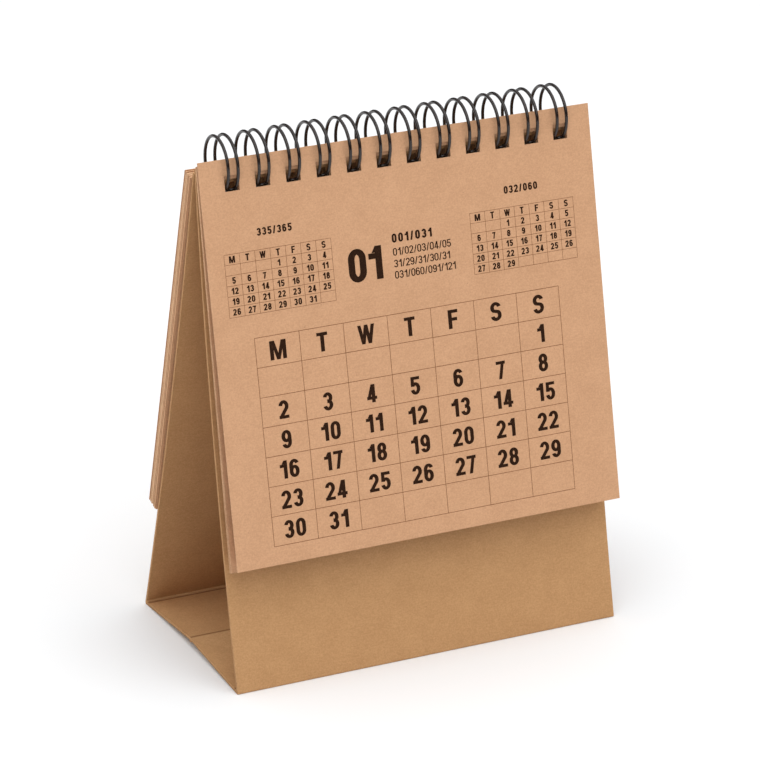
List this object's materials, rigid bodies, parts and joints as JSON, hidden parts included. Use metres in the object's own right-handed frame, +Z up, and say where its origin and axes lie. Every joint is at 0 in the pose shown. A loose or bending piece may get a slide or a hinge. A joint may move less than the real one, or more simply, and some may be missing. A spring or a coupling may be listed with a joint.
{
  "type": "desk calendar",
  "caption": "Free-standing kraft desk calendar: wire-bound month leaves hang front and back of a folded card tent stand.",
  "frame": {"origin": "on the desk, under the middle of the whole calendar", "axes": "+X along the wire to the right as seen from the front, -Y to the front, where the printed leaf faces, +Z up"},
  "size_m": [0.1108, 0.0634, 0.1438],
  "materials": {
    "kraft_card": "uncoated solid kraft board, matt",
    "kraft_paper": "uncoated kraft paper, matt",
    "coated_wire": "black nylon coating, semi-gloss"
  },
  "bodies": {
    "stand": {"stand": "kraft_card", "wire_binding": "coated_wire", "next_leaves": "kraft_paper"},
    "front_leaf": {"front_leaf": "kraft_paper"},
    "back_leaves": {"back_leaves": "kraft_paper"}
  },
  "joints": [
    {"name": "front_leaf_turn", "type": "hinge", "parent": "stand", "child": "front_leaf", "pos_m": [0, -0.00467, 0.136], "axis": [-1, 0, 0], "range_deg": [0, 185]},
    {"name": "back_leaves_turn", "type": "hinge", "parent": "stand", "child": "back_leaves", "pos_m": [0, -0.00467, 0.136], "axis": [1, 0, 0], "range_deg": [0, 180]}
  ]
}
